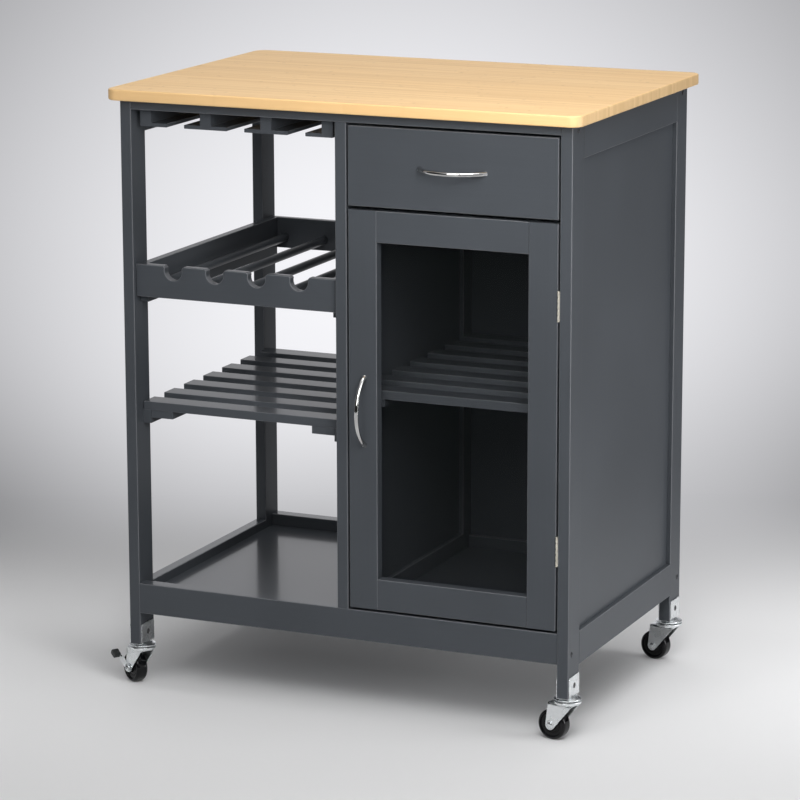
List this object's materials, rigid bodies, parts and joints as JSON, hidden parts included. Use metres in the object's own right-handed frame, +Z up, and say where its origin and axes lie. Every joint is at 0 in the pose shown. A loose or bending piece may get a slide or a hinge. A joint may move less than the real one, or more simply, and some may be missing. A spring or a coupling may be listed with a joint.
{
  "type": "rolling kitchen island",
  "caption": "Rolling kitchen island with a wooden worktop, a drawer over a glazed cupboard, and an open bay with stemware hangers, a wine rack and a slatted shelf.",
  "frame": {"origin": "on the floor, under the middle of the whole outline, handles and brake pads included", "axes": "+X to the right seen from the front, +Y to the back, +Z up"},
  "size_m": [0.7071, 0.478, 0.83],
  "materials": {
    "bamboo": "clear satin lacquer over strip bamboo",
    "painted_wood": "satin dark grey paint on solid wood",
    "painted_panel": "satin dark grey paint on thin board",
    "glass": "clear polished",
    "chrome": "polished chrome plate",
    "zinc": "bright zinc plate",
    "hinge_brass": "plated, satin",
    "wheel_plastic": "smooth black nylon",
    "pad_plastic": "ribbed black plastic",
    "catch_plastic": "black moulded plastic"
  },
  "bodies": {
    "case": {"back_panel": "painted_panel", "bay_shelf_slats": "painted_wood", "bottom_panels": "painted_panel", "bottom_rails": "painted_wood", "cabinet_shelf_slats": "painted_wood", "case_screws": "zinc", "caster_balls": "zinc", "caster_clips": "zinc", "caster_kingpins": "zinc", "caster_screws": "zinc", "centre_posts": "painted_wood", "cleats": "painted_wood", "corner_posts": "painted_wood", "drawer_runners": "painted_wood", "hinge_case_leaves": "hinge_brass", "hinge_pins": "hinge_brass", "magnet_catch": "catch_plastic", "partition_panel": "painted_panel", "partition_rails": "painted_wood", "rack_end_boards": "painted_wood", "rack_rods": "painted_wood", "rack_side_boards": "painted_wood", "shelf_battens": "painted_wood", "side_panel": "painted_panel", "side_rails": "painted_wood", "stem_blocks": "painted_wood", "stem_plates": "painted_wood", "top_rails": "painted_wood", "worktop": "bamboo"},
    "drawer": {"drawer_front": "painted_wood", "drawer_sides": "painted_wood", "drawer_back": "painted_wood", "drawer_bottom": "painted_panel", "drawer_handle": "chrome", "drawer_handle_screws": "zinc"},
    "door": {"door_stiles": "painted_wood", "door_rails": "painted_wood", "door_glass": "glass", "glass_clips": "zinc", "door_handle": "chrome", "door_handle_screws": "zinc", "hinge_door_leaves": "hinge_brass", "magnet_strike": "zinc"},
    "swivel_front_left": {"fork_front_left": "zinc", "axle_front_left": "zinc"},
    "roller_front_left": {"wheel_front_left": "wheel_plastic"},
    "brake_front_left": {"brake_arm_front_left": "zinc", "brake_pad_front_left": "pad_plastic"},
    "swivel_front_right": {"fork_front_right": "zinc", "axle_front_right": "zinc"},
    "roller_front_right": {"wheel_front_right": "wheel_plastic"},
    "swivel_rear_left": {"fork_rear_left": "zinc", "axle_rear_left": "zinc"},
    "roller_rear_left": {"wheel_rear_left": "wheel_plastic"},
    "brake_rear_left": {"brake_arm_rear_left": "zinc", "brake_pad_rear_left": "pad_plastic"},
    "swivel_rear_right": {"fork_rear_right": "zinc", "axle_rear_right": "zinc"},
    "roller_rear_right": {"wheel_rear_right": "wheel_plastic"}
  },
  "joints": [
    {"name": "drawer_slide", "type": "slide", "parent": "case", "child": "drawer", "axis": [0, -1, 0], "range_m": [0, 0.25]},
    {"name": "door_hinge", "type": "hinge", "parent": "case", "child": "door", "pos_m": [0.3205, -0.2119, 0.4214], "axis": [0, 0, 1], "range_deg": [0, 110]},
    {"name": "swivel_front_left_turn", "type": "hinge", "parent": "case", "child": "swivel_front_left", "pos_m": [-0.2976, -0.1925, 0.057], "axis": [0, 0, 1], "continuous": true},
    {"name": "wheel_front_left_roll", "type": "hinge", "parent": "swivel_front_left", "child": "roller_front_left", "pos_m": [-0.31507, -0.18158, 0.0206], "axis": [-0.5299, -0.848, 0], "continuous": true},
    {"name": "brake_front_left_press", "type": "hinge", "parent": "swivel_front_left", "child": "brake_front_left", "pos_m": [-0.31507, -0.18158, 0.0206], "axis": [-0.5299, -0.848, 0], "range_deg": [0, 25]},
    {"name": "swivel_front_right_turn", "type": "hinge", "parent": "case", "child": "swivel_front_right", "pos_m": [0.3304, -0.1925, 0.057], "axis": [0, 0, 1], "continuous": true},
    {"name": "wheel_front_right_roll", "type": "hinge", "parent": "swivel_front_right", "child": "roller_front_right", "pos_m": [0.31018, -0.18857, 0.0206], "axis": [-0.1908, -0.9816, 0], "continuous": true},
    {"name": "swivel_rear_left_turn", "type": "hinge", "parent": "case", "child": "swivel_rear_left", "pos_m": [-0.2976, 0.2025, 0.057], "axis": [0, 0, 1], "continuous": true},
    {"name": "wheel_rear_left_roll", "type": "hinge", "parent": "swivel_rear_left", "child": "roller_rear_left", "pos_m": [-0.31627, 0.21121, 0.0206], "axis": [-0.4226, -0.9063, 0], "continuous": true},
    {"name": "brake_rear_left_press", "type": "hinge", "parent": "swivel_rear_left", "child": "brake_rear_left", "pos_m": [-0.31627, 0.21121, 0.0206], "axis": [-0.4226, -0.9063, 0], "range_deg": [0, 25]},
    {"name": "swivel_rear_right_turn", "type": "hinge", "parent": "case", "child": "swivel_rear_right", "pos_m": [0.3304, 0.2025, 0.057], "axis": [0, 0, 1], "continuous": true},
    {"name": "wheel_rear_right_roll", "type": "hinge", "parent": "swivel_rear_right", "child": "roller_rear_right", "pos_m": [0.31015, 0.20625, 0.0206], "axis": [-0.1822, -0.9833, 0], "continuous": true}
  ]
}
